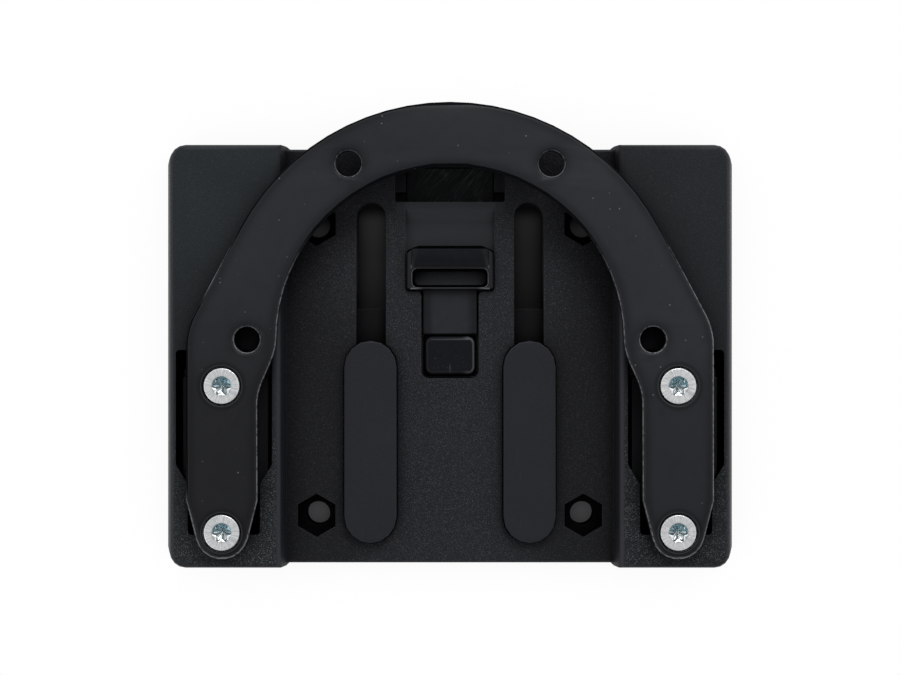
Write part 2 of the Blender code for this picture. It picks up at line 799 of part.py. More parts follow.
def leg_tip(half, radius, centre_x, taper):
    """The tapered round end of a leg or rail, from its outer corner to its inner corner."""
    corner = (half, taper)
    angle = tangent_angle(corner, (0.0, screw_lower), radius)
    tip = [corner] + arc((0.0, screw_lower), radius, angle, -180.0 - angle, 9) + [(-half, taper)]
    return [(centre_x + x, y) for x, y in tip]


def ring_outline():
    """The U from the top centre: outer arc, straight shoulder, leg, round tip, throat, inner arc."""
    lean = math.radians(ring_shoulder_angle)
    centre = (0.0, ring_centre_y)
    outer = arc(centre, ring_outer, 90.0, ring_shoulder_angle, 12)
    edge_x = pocket_x + leg_half
    run = (edge_x - outer[-1][0]) / math.sin(lean)
    elbow = (edge_x, outer[-1][1] - run * math.cos(lean))
    shoulder = rounded([(*outer[-1], 0.0), (*elbow, ring_shoulder_fillet), (edge_x, leg_taper, 0.0)],
                       bend_step)
    throat = []
    for i in range(1, 8):
        t = i / 8
        x = pocket_x - leg_half + (ring_inner - pocket_x + leg_half) * (3 - 2 * t) * t * t
        throat.append((x, ring_centre_y - leg_throat * (1 - t)))
    inner = arc(centre, ring_inner, 0.0, 90.0, 16)
    start = (pocket_x - leg_half, ring_centre_y - leg_throat)
    tip = leg_tip(leg_half, leg_end, pocket_x, leg_taper)
    return outer[:-1] + shoulder[:-1] + tip + [start] + throat + inner


def mounting_ring():
    right = ring_outline()
    outline = right[:-1] + [(-x, y) for x, y in reversed(right[1:])]
    holes = []
    for i in range(4):
        angle = math.radians(i * bolt_step)
        x = bolt_circle * math.cos(angle)
        y = ring_centre_y + bolt_circle * math.sin(angle)
        holes.append(circle(x, y, bolt_hole))
    ring = plate("ring", [outline] + holes, ring_low, ring_high, ring_edge)
    wide = screw_head + head_side_air
    waist = screw_shank + shank_side_air
    slope = head_rim + head_sunk + head_under_air
    for sign in (-1, 1):
        for y in (screw_upper, screw_lower):
            sink = turned("sink", [(0.0, wall), (wide, wall), (wide, -slope), (waist, waist - wide - slope),
                                   (waist, -ring_thick - wall), (0.0, -ring_thick - wall)], 24)
            cut(ring, moved(sink, sign * pocket_x, y, ring_high))
    return ring


def rail():
    """A leg's rail: neck in the pocket's mouth, flange under the lips and a boss round each screw."""
    half = leg_half - rail_inset
    neck = leg_tip(half, boss_radius, 0.0, leg_taper)
    neck = [(half, rail_top)] + neck + [(-half, rail_top)]
    body = plate("rail", [neck], flange_high - rail_edge - bite, rail_high, rail_edge)
    slope = (pocket_wide - pocket_narrow) / (pocket_shoulder - pocket_neck)
    shoulder = pocket_shoulder - ring_travel
    foot = pocket_neck - ring_travel + flange_short
    foot_half = flange_half - slope * (shoulder - foot)
    flange = mirrored(rounded([
        (0.0, rail_top, 0.0), (flange_half, rail_top, flange_fillet), (flange_half, shoulder, slope_fillet),
        (foot_half, foot, slope_fillet), (0.0, foot, 0.0)], 2 * corner_step)[1:-1])
    join(body, plate("flange", [flange], flange_low, flange_high))
    cut(body, box("step", -pocket_wide, pocket_wide, rail_top - tongue_long, pocket_top,
                  flange_low + tongue_thick, flange_high + step_over))
    for y in (screw_upper, screw_lower):
        join(body, plate("boss", [circle(0.0, y, boss_radius)], rail_low, rail_high - rail_edge))
    cut(body, box("end", -pocket_wide, pocket_wide, rail_top, rail_top + 2 * boss_radius,
                  rail_low - wall, ring_high))
    for y in (screw_upper, screw_lower):
        bore = turned("bore", [(0.0, rail_low - wall), (screw_shank + fit, rail_low - wall),
                               (screw_shank + fit, insert_low - fit), (insert_radius + fit, insert_low - fit),
                               (insert_radius + fit, ring_low), (0.0, ring_low)], 16)
        cut(body, moved(bore, 0.0, y))
    return body


def threaded_insert():
    """A brass sleeve with a groove between its two knurled bands."""
    bore = screw_shank + fit
    groove = insert_radius - insert_groove
    third = insert_long / 3
    return turned("insert", [(bore, 0.0), (insert_radius, 0.0), (insert_radius, third),
                             (groove, third + groove_slope), (groove, 2 * third - groove_slope),
                             (insert_radius, 2 * third),
                             (insert_radius, insert_long), (bore, insert_long)], 12)


def ring_screw():
    """A countersunk screw with a six-lobe recess. Its origin is the middle of its head's top."""
    cone = head_rim + screw_head - screw_shank
    screw = turned("screw", [(0.0, 0.0), (screw_head - head_edge_cut, 0.0), (screw_head, -head_edge_cut),
                             (screw_head, -head_rim), (screw_shank, -cone),
                             (screw_shank, screw_point - screw_long),
                             (screw_shank - screw_point, -screw_long), (0.0, -screw_long)], 20)
    mouth = turned("mouth", [(0.0, wall), (recess_mouth, wall), (recess_mouth, 0.0),
                             (recess_mid - mouth_slope, -mouth_deep), (0.0, -mouth_deep)], 18)
    cut(screw, mouth)
    lobes = []
    for i in range(24):
        angle = math.tau * i / 24
        radius = recess_mid + recess_lobe * math.cos(6 * angle)
        lobes.append((radius * math.cos(angle), radius * math.sin(angle)))
    cut(screw, plate("lobes", [lobes], -recess_deep, wall))
    tip = turned("tip", [(0.0, bite - recess_deep), (recess_floor, bite - recess_deep),
                         (recess_floor, -recess_deep), (0.0, -recess_deep - recess_cone)], 12)
    return cut(screw, tip)


# Latch

def slot_plate(name, half, high, low, top):
    return plate(name, [rectangle(-half, half, eye_y - high / 2, eye_y + high / 2, eye_round)], low, top)


def strap_slider():
    """The strap eye, its stem in the neck of the panel, and the flange that keeps it down."""
    foot = channel_foot + fit
    stem_half = neck_half - stem_side
    head = mirrored(rounded([
        (0.0, head_top, 0.0), (head_half - head_corner_x, head_top, head_round_top),
        (head_half, head_top - head_corner_y, head_round_side), (head_half, foot, head_round_foot),
        (0.0, foot, 0.0)], coarse_step)[1:-1])
    low = head_height - head_thick
    slider = plate("slider", [head], low, head_height, head_edge)
    scoop_y = (eye_y + eye_high / 2 + eye_rim + head_top) / 2
    scoop = circle(scoop_y, head_height + scoop_radius - scoop_deep, scoop_radius, 48)
    scoop_half = head_half - scoop_side
    cut(slider, bar_along_x("scoop", scoop, -scoop_half, scoop_half))
    lower = channel_floor + fit
    for sign in (-1, 1):
        left, right = sorted((sign * (head_half - skid_in), sign * (eye_half + bite)))
        join(slider, box("skid", left, right, foot + bite, head_top - skid_short, lower, low + bite))
    stem_low = stem_height - stem_thick
    stem_top = eye_y - eye_high / 2 - eye_rim
    button_gap = button_top + loose
    stem = rectangle(-stem_half, stem_half, button_gap, stem_top, stem_corner)
    join(slider, plate("stem", [stem], lower, stem_height, stem_edge))
    web_end = channel_foot - latch_travel - fit
    join(slider, box("web", stem_edge - stem_half, stem_half - stem_edge, button_gap + stem_edge, web_end,
                     slider_low + web_sunk, stem_low + bite))
    wing_x = button_half + slider_wing
    wing = rectangle(-wing_x, wing_x, button_foot - slider_wing, web_end, wing_corner)
    hole_x = button_half + loose
    window = rectangle(-hole_x, hole_x, button_foot - loose, button_gap, wing_corner)
    join(slider, plate("flange", [wing, window], slider_low, slider_high))
    cut(slider, slot_plate("rim", eye_half + eye_rim, eye_high + 2 * eye_rim, head_height - eye_rim_deep,
                           head_height + wall))
    return cut(slider, slot_plate("slot", eye_half, eye_high, lower - wall, head_height + wall))


def lock_bar():
    """The cross bar with the button on its middle and a hooked nose at each end."""
    bar = box("bar", -bar_reach, bar_reach, bar_front, bar_back, bar_low, bar_high)
    button = rectangle(-button_half, button_half, button_foot, button_top, button_corner)
    join(bar, plate("button", [button], bar_high - 3 * bite, button_height, button_edge, 1))
    nose_top = flange_high - fit
    hook_low = flange_low + tongue_thick + fit
    for sign in (-1, 1):
        left, right = sorted((sign * nose_inner, sign * bar_reach))
        join(bar, box("nose", left, right, bar_front, bar_back, bar_high - bite, nose_top))
        left, right = sorted((sign * nose_inner, sign * hook_reach))
        join(bar, box("hook", left, right, bar_front - hook_long, bar_front + bite, hook_low, nose_top))
        join(bar, spring_peg(sign, bar_back - bite, bar_back + peg_long))
    return bar


def return_spring():
    """A helix along Y between the lock bar and its seat, with a flat turn at each end."""
    length = spring_seat - fit - spring_y0 - 2 * spring_wire
    steps = 8
    total = spring_turns * steps
    curve = bpy.data.curves.new("spring", "CURVE")
    curve.dimensions = "3D"
    curve.bevel_depth = spring_wire * MM
    curve.bevel_resolution = 0
    curve.use_fill_caps = True
    spline = curve.splines.new("POLY")
    spline.points.add(total)
    for i, point in enumerate(spline.points):
        angle = math.tau * i / steps
        ease = 1.5 * spring_wire * 2
        turns = i / steps
        inner_turns = min(max(turns - 1.0, 0.0), spring_turns - 2.0)
        along = ease * min(turns, 1.0) + ease * max(turns - spring_turns + 1.0, 0.0)
        along += (length - 2 * ease) * inner_turns / (spring_turns - 2.0)
        across, up = spring_radius * math.cos(angle), spring_radius * math.sin(angle)
        point.co = (across * MM, along * MM, up * MM, 1.0)
    source = bpy.data.objects.new("spring_curve", curve)
    bpy.context.collection.objects.link(source)
    bpy.context.view_layer.update()
    mesh = bpy.data.meshes.new_from_object(source.evaluated_get(bpy.context.evaluated_depsgraph_get()))
    bpy.data.objects.remove(source)
    bm = bmesh.new()
    bm.from_mesh(mesh)
    bpy.data.meshes.remove(mesh)
    return mesh_object("spring", bm)


# Assembly

def carrier(name, x, y, z):
    empty = bpy.data.objects.new(name, None)
    empty.location = (x * MM, y * MM, z * MM)
    bpy.context.collection.objects.link(empty)
    return empty


def build():
    for obj in list(bpy.data.objects):
        bpy.data.objects.remove(obj)

    moulded = finish("moulded_black", (0.021, 0.022, 0.025), 0.55)
    gloss = finish("gloss_black", (0.016, 0.017, 0.02), 0.25)
    rail_black = finish("rail_black", (0.012, 0.013, 0.015), 0.35)
    coated = finish("powder_coat", (0.025, 0.027, 0.03), 0.5)
    zinc = finish("zinc_steel", (0.72, 0.73, 0.74), 0.25, 1.0)
    brass = finish("insert_brass", (0.6, 0.42, 0.16), 0.35, 1.0)
    wire = finish("spring_steel", (0.5, 0.5, 0.5), 0.3, 1.0)
    rubber = finish("pad_rubber", (0.022, 0.023, 0.026), 0.8)

    place(base_shell(), "base_shell", moulded)
    place(back_cover(), "back_cover", gloss)
    small_screw = cover_screw()
    for number, (x, y) in enumerate(cover_screw_places(), 1):
        place(copy_of(small_screw), f"cover_screw_{number}", zinc, (x, y, 0.0))
    bpy.data.objects.remove(small_screw)
    strip = pad()
    place(copy_of(strip), "left_pad", rubber, (-pad_x, 0.0, 0.0))
    place(strip, "right_pad", rubber, (pad_x, 0.0, 0.0))

    ring_carriage = carrier("ring_carriage", 0.0, ring_centre_y, ring_low)
    centre = (0.0, ring_centre_y, ring_low)
    place(settle(mounting_ring(), centre), "mounting_ring", coated, centre, ring_carriage)
    runner = rail()
    place(copy_of(runner), "left_rail", rail_black, (-pocket_x, 0.0, 0.0), ring_carriage)
    place(runner, "right_rail", rail_black, (pocket_x, 0.0, 0.0), ring_carriage)
    sleeve = threaded_insert()
    bolt = ring_screw()
    for side, x in (("left", -pocket_x), ("right", pocket_x)):
        for row, y in (("upper", screw_upper), ("lower", screw_lower)):
            head = (x, y, ring_high - head_sunk)
            place(copy_of(bolt), f"{side}_{row}_screw", zinc, head, ring_carriage)
            place(copy_of(sleeve), f"{side}_{row}_insert", brass, (x, y, insert_low), ring_carriage)
    bpy.data.objects.remove(sleeve)
    bpy.data.objects.remove(bolt)

    latch_carriage = carrier("latch_carriage", 0.0, 0.0, slider_low)
    place(strap_slider(), "strap_slider", gloss, (0.0, 0.0, 0.0), latch_carriage)
    place(lock_bar(), "lock_bar", gloss, (0.0, 0.0, 0.0), latch_carriage)
    coil = return_spring()
    for side, x in (("left", -spring_x), ("right", spring_x)):
        home = (x, spring_y0 + spring_wire, spring_z)
        place(copy_of(coil), f"{side}_spring", wire, home)
    bpy.data.objects.remove(coil)


build()
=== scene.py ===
import json

import bpy
import numpy as np
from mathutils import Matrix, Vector

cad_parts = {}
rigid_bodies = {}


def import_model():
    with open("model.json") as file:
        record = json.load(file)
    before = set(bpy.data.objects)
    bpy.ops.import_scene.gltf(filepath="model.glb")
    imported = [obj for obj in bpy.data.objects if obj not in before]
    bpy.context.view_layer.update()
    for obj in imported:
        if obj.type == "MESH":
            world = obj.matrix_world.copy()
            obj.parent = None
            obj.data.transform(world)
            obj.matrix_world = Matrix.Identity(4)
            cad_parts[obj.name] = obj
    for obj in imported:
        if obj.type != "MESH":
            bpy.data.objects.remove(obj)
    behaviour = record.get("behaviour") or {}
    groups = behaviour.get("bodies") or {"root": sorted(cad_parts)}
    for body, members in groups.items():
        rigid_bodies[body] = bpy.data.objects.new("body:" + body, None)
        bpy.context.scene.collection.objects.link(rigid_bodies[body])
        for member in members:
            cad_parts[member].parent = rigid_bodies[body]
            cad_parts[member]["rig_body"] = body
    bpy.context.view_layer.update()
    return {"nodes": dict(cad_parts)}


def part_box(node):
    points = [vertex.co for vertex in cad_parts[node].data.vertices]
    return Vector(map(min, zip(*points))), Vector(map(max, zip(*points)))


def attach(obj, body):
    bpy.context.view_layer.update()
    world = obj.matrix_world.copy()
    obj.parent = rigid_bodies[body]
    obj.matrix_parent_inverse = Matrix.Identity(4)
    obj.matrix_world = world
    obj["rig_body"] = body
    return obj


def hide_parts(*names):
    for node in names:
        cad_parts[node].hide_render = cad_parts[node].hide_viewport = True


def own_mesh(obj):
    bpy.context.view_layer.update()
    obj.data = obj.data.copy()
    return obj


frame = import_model()
nodes = frame["nodes"]

MM = 0.001

# Levels of the solids over the floor, and how deep a screw's head lies in its face, in millimetres
platform_top = 5.5
insert_foot = 9.0
ramp_foot = 9.75
panel_top = 11.5
eye_rim_floor = 12.66
block_top = 19.0
ring_top = 24.0
screw_sunk = 0.15

# Places across the plate and along it from its middle, in millimetres
ledge_x = 12.0
channel_half = 14.6
slot_inner_x = 16.0
slot_x = 21.3
slot_outer_x = 26.0
nut_x = 36.0
pocket_x = 60.0
closed_end_y = 52.5
slot_top_y = 43.0
nut_y = 39.3
eye_y = 21.0
slot_step_y = 12.8
button_foot_y = -5.0
open_end_y = -54.0
screw_rows = (-7.75, -46.3)

# The ring's middle, the band of its four holes, and the edge of a screw's seat, in millimetres
ring_centre_y = 4.46
hole_band = (48.4, 58.4)
seat_edge = 5.3


# Surfaces worked out on grids

def closed_surface(name, points, sleeve=False):
    """A closed mesh from points[row, column], whose columns close into rings.

    The rows close too on a sleeve. Otherwise a fan round the mean of its last ring shuts each end.
    The map holds the share of the turn in u and the share of the way along in v."""
    rows, columns = points.shape[:2]
    coords = points.reshape(-1, 3)
    i, j = np.meshgrid(np.arange(rows if sleeve else rows - 1), np.arange(columns), indexing="ij")
    along = np.stack([i, i, i + 1, i + 1], -1).reshape(-1, 4)
    across = np.stack([j, j + 1, j + 1, j], -1).reshape(-1, 4)
    quads = along % rows * columns + across % columns
    shares = np.stack([across / columns, along / rows], -1)
    fans = np.empty((0, 3), int)
    fan_shares = np.empty((0, 3, 2))
    if not sleeve:
        column = np.arange(columns)
        after = (column + 1) % columns
        last = (rows - 1) * columns
        pole = np.full(columns, len(coords))
        fans = np.concatenate([np.stack([pole, after, column], -1),
                               np.stack([pole + 1, last + column, last + after], -1)])
        coords = np.concatenate([coords, [points[0].mean(0), points[-1].mean(0)]])
        start = np.stack([column + 0.5, column + 1, column], -1) / columns
        stop = np.stack([column + 0.5, column, column + 1], -1) / columns
        height = np.repeat([0.0, 1.0], columns)[:, None] * np.ones(3)
        fan_shares = np.stack([np.concatenate([start, stop]), height], -1)

    # Faces that enclose a negative volume look inwards, so they are turned round
    corner = coords[quads] - coords.mean(0)
    volume = (corner[:, 0] * np.cross(corner[:, 1], corner[:, 2])).sum()
    volume += (corner[:, 0] * np.cross(corner[:, 2], corner[:, 3])).sum()
    if volume < 0:
        quads, shares = quads[:, ::-1], shares[:, ::-1]
        fans, fan_shares = fans[:, ::-1], fan_shares[:, ::-1]

    mesh = bpy.data.meshes.new(name)
    mesh.from_pydata((coords * MM).tolist(), [], quads.tolist() + fans.tolist())
    share = np.concatenate([shares.reshape(-1, 2), fan_shares.reshape(-1, 2)])
    mesh.uv_layers.new(name="round").uv.foreach_set("vector", share.astype(np.float32).ravel())
    mesh.shade_smooth()
    mesh.set_sharp_from_angle(angle=np.radians(38.0))
    piece = bpy.data.objects.new(name, mesh)
    bpy.context.scene.collection.objects.link(piece)
    return piece


def turn_of(columns):
    """Even angles round a full turn."""
    return np.linspace(0.0, 2 * np.pi, columns, endpoint=False)


def zigzag(waves):
    """A triangle wave: 1 at each whole number of waves and 0 halfway between them."""
    return np.abs(2 * (waves % 1.0) - 1.0)


def spun(bands, x, y, z, columns):
    """Points round an upright axis: x + r cos t, y + r sin t, z + h. A band holds r and h, row by column."""
    turn = turn_of(columns)
    full = [np.broadcast_arrays(radius, height, turn[None, :])[:2] for radius, height in bands]
    radius, height = (np.concatenate(part) for part in zip(*full))
    return np.stack([x + radius * np.cos(turn), y + radius * np.sin(turn), z + height], -1)


def column_of(*values):
    """Values one under the other, one for each row of a band."""
    return np.array(values, float)[:, None]


def stands_for(piece, node, finish):
    """Put a detailed piece in its solid's place, on its body and with its finish."""
    piece.data.materials.append(finish)
    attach(piece, nodes[node]["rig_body"])
    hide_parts(node)
    return piece


# Materials

class Value:
    """An output of a node. Arithmetic on it adds Math nodes."""

    def __init__(self, owner, socket):
        self.owner = owner
        self.socket = socket

    def math(self, operation, *values):
        """A Math node on some values."""
        return self.owner.node("ShaderNodeMath", {"operation": operation}, dict(enumerate(values)))

    def __add__(self, other):
        return self.math("ADD", self, other)

    def __radd__(self, other):
        return self.math("ADD", other, self)

    def __sub__(self, other):
        return self.math("SUBTRACT", self, other)

    def __rsub__(self, other):
        return self.math("SUBTRACT", other, self)

    def __mul__(self, other):
        return self.math("MULTIPLY", self, other)

    def __rmul__(self, other):
        return self.math("MULTIPLY", other, self)

    def __truediv__(self, other):
        return self.math("DIVIDE", self, other)

    def __pow__(self, other):
        return self.math("POWER", self, other)

    def __abs__(self):
        return self.math("ABSOLUTE", self)


class Nodes:
    """The nodes of a material, the world or a modifier, started empty."""

    def __init__(self, tree):
        self.tree = tree
        tree.nodes.clear()

    def node(self, kind, settings=None, values=None, output=0):
        """One node: settings first, then the values or links of its sockets. Returns one output, if any."""
        made = self.tree.nodes.new(kind)
        for setting, value in (settings or {}).items():
            setattr(made, setting, value)
        for key, value in (values or {}).items():
            if isinstance(value, Value):
                self.tree.links.new(value.socket, made.inputs[key])
            else:
                made.inputs[key].default_value = value
        return Value(self, made.outputs[output]) if len(made.outputs) else None


class Finish(Nodes):
    """A material and the nodes it is made of. Its places are in millimetres, in the part's own frame."""

    def __init__(self, name):
        self.material = bpy.data.materials.new(name)
        self.material.use_nodes = True
        super().__init__(self.material.node_tree)
        place = self.node("ShaderNodeTexCoord", output="Object")
        self.mm = self.node("ShaderNodeVectorMath", {"operation": "SCALE"}, {0: place, "Scale": 1 / MM})
        self.x, self.y, self.z = (self.part_of(self.mm, axis) for axis in "XYZ")
        self.aside = abs(self.x)

    def part_of(self, vector, axis):
        """One part of a vector."""
        return self.node("ShaderNodeSeparateXYZ", {}, {0: vector}, axis)

    def stretched(self, x, y, z, turn=0.0):
        """The place scaled along each axis after a turn about the upright axis."""
        turned = self.node("ShaderNodeVectorRotate", {"rotation_type": "Z_AXIS"}, {0: self.mm, "Angle": turn})
        return self.node("ShaderNodeVectorMath", {"operation": "MULTIPLY"}, {0: turned, 1: (x, y, z)})

    def noise(self, scale, detail=2.0, roughness=0.5, where=None):
        """Noise with so many waves in a millimetre, at the place or at another vector."""
        values = {"Vector": where or self.mm, "Scale": scale, "Detail": detail, "Roughness": roughness}
        return self.node("ShaderNodeTexNoise", {}, values, "Fac")

    def smooth(self, value, low, high):
        """A smooth rise from 0 at low to 1 at high."""
        return self.node("ShaderNodeMapRange", {"interpolation_type": "SMOOTHSTEP"},
                         {0: value, 1: low, 2: high, 3: 0.0, 4: 1.0})

    def within(self, value, low, high, soft):
        """1 between two values, with soft ends."""
        return self.smooth(value, low - soft, low + soft) * (1 - self.smooth(value, high - soft, high + soft))

    def most(self, first, *others):
        """The largest of some values."""
        for other in others:
            first = first.math("MAXIMUM", first, other)
        return first

    def mix(self, share, first, second):
        """Two colours, or links to them, by a share."""
        full = [colour if isinstance(colour, Value) else (*colour, 1.0) for colour in (first, second)]
        return self.node("ShaderNodeMix", {"data_type": "RGBA"}, {0: share, 6: full[0], 7: full[1]}, 2)

    def shaded(self, share, colour):
        """A colour times a share."""
        return self.mix(share, (0.0, 0.0, 0.0), colour)

    def rounded(self, radius):
        """Normal of an edge as if it were rounded by that many millimetres."""
        return self.node("ShaderNodeBevel", {"samples": 6}, {"Radius": radius * MM})

    def facing(self, output="Normal"):
        """The smooth normal, or the flat one."""
        return self.node("ShaderNodeNewGeometry", {}, {}, output)

    def edge(self, bevel):
        """Share by which the rounded normal leans away from the flat one."""
        values = {0: bevel, 1: self.facing("True Normal")}
        same = self.node("ShaderNodeVectorMath", {"operation": "DOT_PRODUCT"}, values, "Value")
        return self.smooth(1 - same, 0.02, 0.3)

    def up(self):
        """Share by which the surface faces up."""
        return self.smooth(self.lean(self.facing("True Normal")), 0.85, 0.97)

    def lean(self, normal):
        """Height of the normal: 1 where the surface faces up and 0 on a wall."""
        return self.part_of(normal, "Z")

    def clear(self, reach, settings, values):
        """Share of the view from the surface that nothing within that many millimetres closes off."""
        settings = {"samples": 8, **settings}
        return self.node("ShaderNodeAmbientOcclusion", settings, {"Distance": reach * MM, **values}, "AO")

    def open(self, reach, depth, power=1.0):
        """1 on open faces, less by depth in corners and recesses within reach."""
        return (1 - depth * (1 - self.clear(reach, {}, {}))) ** power

    def inland(self, reach):
        """1 on a plate's face away from its edges, less within reach of them."""
        return self.clear(reach, {"inside": True, "only_local": True}, {})

    def lit_from(self, x, y, z, reach):
        """Share of the light from one side that nothing within reach keeps off."""
        return self.clear(reach, {}, {"Normal": self.node("ShaderNodeCombineXYZ", {}, {0: x, 1: y, 2: z})})

    def spots(self, scale, size, soft):
        """Round spots, one in each cell, and the cells' random values."""
        values = {"Vector": self.mm, "Scale": scale}
        near = self.node("ShaderNodeTexVoronoi", {"feature": "F1"}, values, "Distance")
        pick = self.node("ShaderNodeTexVoronoi", {"feature": "F1"}, values, "Color")
        chance = self.node("ShaderNodeSeparateColor", {}, {0: pick}, "Red")
        return 1 - self.smooth(near, size, size + soft), chance

    def bump(self, height, distance, normal=None, strength=1.0):
        """Relief whose height of 1 stands that many millimetres."""
        values = {"Height": height, "Distance": distance * MM, "Strength": strength}
        if normal:
            values["Normal"] = normal
        return self.node("ShaderNodeBump", {}, values)

    def done(self, colour, roughness, normal, metallic=0.0, specular=0.3, dull=None):
        """Close the material with a Principled shader, mixed by dull with one that has no gloss."""
        values = {"Base Color": colour, "Roughness": roughness, "Normal": normal, "Metallic": metallic,
                  "Specular IOR Level": specular}
        shader = self.node("ShaderNodeBsdfPrincipled", {}, values)
        if dull:
            matt = self.node("ShaderNodeBsdfPrincipled", {}, {**values, "Specular IOR Level": 0.0})
            shader = self.node("ShaderNodeMixShader", {}, {0: dull, 1: shader, 2: matt})
        return self.closed(shader)

    def closed(self, shader):
        """Link the surface to the material's end."""
        self.node("ShaderNodeOutputMaterial", {}, {"Surface": shader})
        return self.material


def moulded_black():
    """Spark-textured nylon: a grainy panel, finer blocks with pale flecks at their feet, a smooth channel."""
    f = Finish("moulded_black_grain")
    bevel = f.rounded(0.35)
    rise = f.lean(bevel)
    up = f.up()

    # Places: faces of the panel and blocks, the channel, the floors and walls of the long slots
    on_panel = f.within(f.z, panel_top - 0.1, panel_top + 0.1, 0.05) * up
    on_block = f.smooth(f.z, block_top - 0.6, block_top - 0.2) * up
    inside = f.smooth(f.y, open_end_y, open_end_y + 1.0)
    channel = (1 - f.smooth(f.aside, channel_half, channel_half + 0.3)) * inside
    channel = channel * f.smooth(f.z, panel_top - 0.06, panel_top - 0.14)
    channel = channel * f.smooth(f.y, closed_end_y + 1.0, closed_end_y)
    channel = channel * (1 - 0.5 * f.smooth(f.aside, ledge_x, ledge_x + 0.4))
    slot_floor_shade = f.within(f.aside, slot_inner_x, slot_outer_x, 0.1) * inside
    slot_floor_shade = slot_floor_shade * f.smooth(f.y, slot_step_y + 0.4, slot_step_y)
    slot_floor_shade = slot_floor_shade * f.smooth(f.z, panel_top - 0.3, panel_top - 0.6)
    in_slot = f.within(f.aside, slot_inner_x + 0.6, slot_outer_x - 0.1, 0.1) * inside
    in_slot = in_slot * f.smooth(f.y, slot_top_y + 1.0, slot_top_y)
    in_slot = in_slot * f.smooth(f.z, panel_top - 0.6, panel_top - 0.9)
    foot = 1 - f.smooth(f.y, -36.0, 4.0)
    # Where the panel lies beside the blocks, painted shade darkens it and dims its grain
    side = on_panel * f.smooth(f.aside, 17.0, 30.0) * f.smooth(f.y, 26.0, 2.0)

    # Grain: raised specks, dark pits and pale flecks over a slow cloud
    coarse = f.noise(1.6, 2.0, 0.6)
    fine = f.noise(3.9, 1.0)
    cloud = f.noise(0.05)
    blotch = f.noise(0.22)
    grain = on_panel + on_block * (0.35 + 0.65 * foot) + 0.3 * (1 - up)
    grain = grain * (1 - channel) * (1 - 0.45 * side)
    spot, chance = f.spots(1.8, 0.06, 0.30)
    small, small_chance = f.spots(2.7, 0.08, 0.36)
    specks = spot * f.smooth(chance, 0.40, 1.0) + 0.9 * small * f.smooth(small_chance, 0.35, 1.0)
    specks = 0.9 * specks + 0.4 * f.smooth(fine, 0.55, 0.70)
    pits = spot * f.smooth(chance, 0.36, 0.05) + f.smooth(fine, 0.46, 0.32)
    flecks = small * f.smooth(small_chance, 0.20, 0.85) + 0.6 * specks
    flecks = flecks * f.smooth(blotch, 0.20, 0.60) * foot * on_block
    flecks = flecks * (0.85 - 0.3 * f.smooth(f.aside, 60.0, 72.0))

    # Colour: panel and blocks with painted shade and sheen, the channel, the grain, rims with a painted
    # highlight
    panel = f.mix(cloud, (0.0092, 0.0098, 0.0122), (0.0130, 0.0138, 0.0166))
    # Painted shade on the panel beside the blocks and towards the right
    panel = f.shaded(0.94 - 0.48 * side - 0.06 * f.smooth(f.x, 20.0, 34.0), panel)
    # Painted light on the blocks: lighter and greener to the left, with a painted sheen at the upper left
    block = f.mix(f.smooth(f.x, -10.0, 30.0), (0.0132, 0.0164, 0.0184), (0.0108, 0.0130, 0.0158))
    upper_left_sheen = f.smooth(f.y, 8.0, 40.0) * f.smooth(f.x, 30.0, -30.0)
    block = f.shaded((0.62 + 0.5 * cloud) * (0.84 + 0.24 * upper_left_sheen), block)
    colour = f.mix(on_block, panel, block)
    colour = f.mix(channel, colour, (0.0265, 0.0278, 0.0312))
    colour = f.mix(pits * grain * 0.8, colour, (0.0010, 0.0011, 0.0014))
    colour = f.mix(specks * grain * 0.70, colour, (0.084, 0.087, 0.095))
    colour = f.mix(flecks * grain, colour, (0.140, 0.143, 0.148))
    # Painted highlight along the rims
    rim_highlight = f.within(rise, 0.45, 0.93, 0.06) * (1 - in_slot)
    colour = f.mix(rim_highlight * 0.5, colour, (0.034, 0.036, 0.041))

    # Painted shade: in corners, in the channel where the light from the closed end is kept off, and in the
    # slots
    below_ramp = channel * f.smooth(f.z, ramp_foot, ramp_foot - 0.15)
    # The painted shade is weaker in the channel and turns to painted light on its deep floor below the ramp
    wide = f.open(16.0, 1.0 - 0.85 * channel - 3.2 * below_ramp, 1.15)
    cast_shade = channel * (1 - f.smooth(f.lit_from(0.0, 0.85, 0.53, 6.0), 0.20, 0.52))
    colour = f.shaded(wide, colour)
    colour = f.shaded(1 - cast_shade, colour)
    # In the slots a painted dark floor and painted light on the walls
    colour = f.mix(slot_floor_shade, colour, (0.0014, 0.0014, 0.0019))
    colour = f.mix(in_slot * (1 - up) * f.smooth(f.y, 10.0, 26.0), colour, (0.028, 0.027, 0.029))
    rough = 0.50 + 0.12 * grain - 0.14 * channel + 0.10 * blotch
    relief = f.bump(fine * grain + 0.6 * coarse * grain, 0.07, bevel)
    relief = f.bump(cloud, 0.25, relief, 0.5)
    dull = f.smooth(wide, 0.85, 0.0) * (1 - channel) + cast_shade
    return f.done(colour, rough, relief, specular=0.18, dull=dull)


